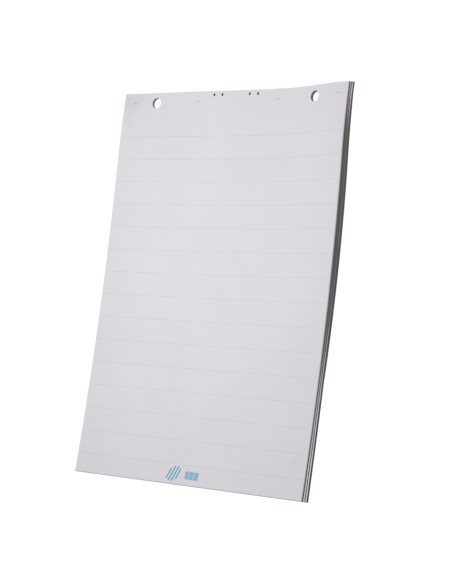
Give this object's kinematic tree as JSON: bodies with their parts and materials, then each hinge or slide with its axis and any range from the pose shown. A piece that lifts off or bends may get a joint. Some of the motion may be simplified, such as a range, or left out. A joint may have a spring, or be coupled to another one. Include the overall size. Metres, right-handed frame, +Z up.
{
  "type": "flip chart pad",
  "caption": "Upright pad of large ruled sheets on a grey board, stapled along the top, with round hang holes and small file holes.",
  "frame": {"origin": "midway between the centres of the two hang holes, in the middle of the pad's thickness there", "axes": "+Z up along the pad's height, +X to the right seen from the front, +Y from the front sheet to the back board"},
  "size_m": [0.609, 0.0475, 0.84],
  "materials": {
    "paper": "matt uncoated white paper with pale blue ruling",
    "grey_board": "unbleached grey chipboard",
    "staple_wire": "galvanised flat wire"
  },
  "bodies": {
    "root": {"sheet_block": "paper", "back_board": "grey_board", "staple_outer_left": "staple_wire", "staple_inner_left": "staple_wire", "staple_inner_right": "staple_wire", "staple_outer_right": "staple_wire"}
  },
  "joints": []
}
